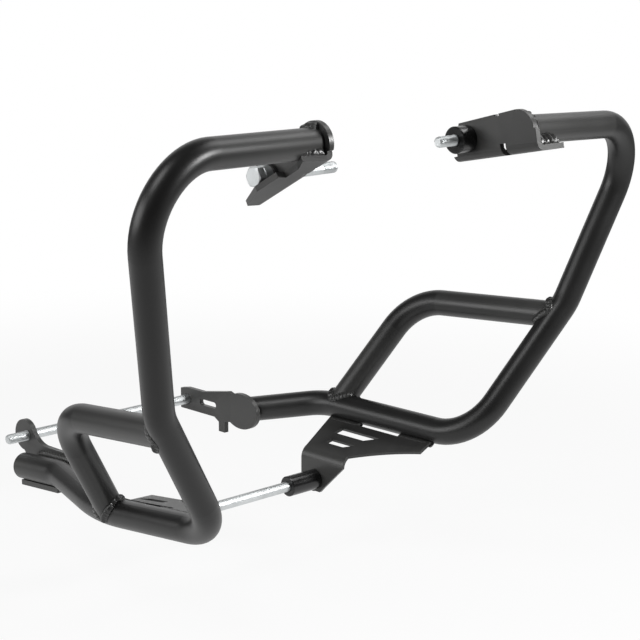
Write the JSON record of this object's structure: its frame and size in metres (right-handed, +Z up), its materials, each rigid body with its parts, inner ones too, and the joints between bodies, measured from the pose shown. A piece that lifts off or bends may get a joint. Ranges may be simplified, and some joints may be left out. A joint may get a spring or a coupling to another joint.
{
  "type": "motorcycle crash bars",
  "caption": "Pair of bent-tube engine guards with loop tubes, folded brackets and slotted gussets, joined across by long through bolts.",
  "frame": {"origin": "centre of the bounding box at its lowest level", "axes": "+X across the motorcycle towards the right-hand guard of the picture, -Y towards the motorcycle's front, +Z up"},
  "size_m": [0.605, 0.492, 0.3984],
  "materials": {
    "powder_coat": "satin black powder coat",
    "sleeve_black": "smooth black",
    "zinc": "bright zinc plate",
    "rubber": "matt",
    "plug": "matt"
  },
  "bodies": {
    "root": {"left_main_tube": "powder_coat", "right_main_tube": "powder_coat", "left_loop_tube": "powder_coat", "right_loop_tube": "powder_coat", "left_upper_bracket": "powder_coat", "right_upper_bracket": "powder_coat", "left_ear_plate": "powder_coat", "right_ear_plate": "powder_coat", "left_gusset_plate": "powder_coat", "right_gusset_plate": "powder_coat", "right_upper_spacer": "sleeve_black", "left_gusset_sleeve": "sleeve_black", "right_gusset_sleeve": "sleeve_black", "left_upper_bolt": "zinc", "left_upper_collar": "zinc", "right_upper_bolt": "zinc", "right_upper_washer": "zinc", "rear_through_bolt": "zinc", "rear_through_washer": "zinc", "front_through_bolt": "zinc", "front_through_washer": "zinc", "left_upper_seal": "rubber", "left_stub_plug": "plug"}
  },
  "joints": []
}
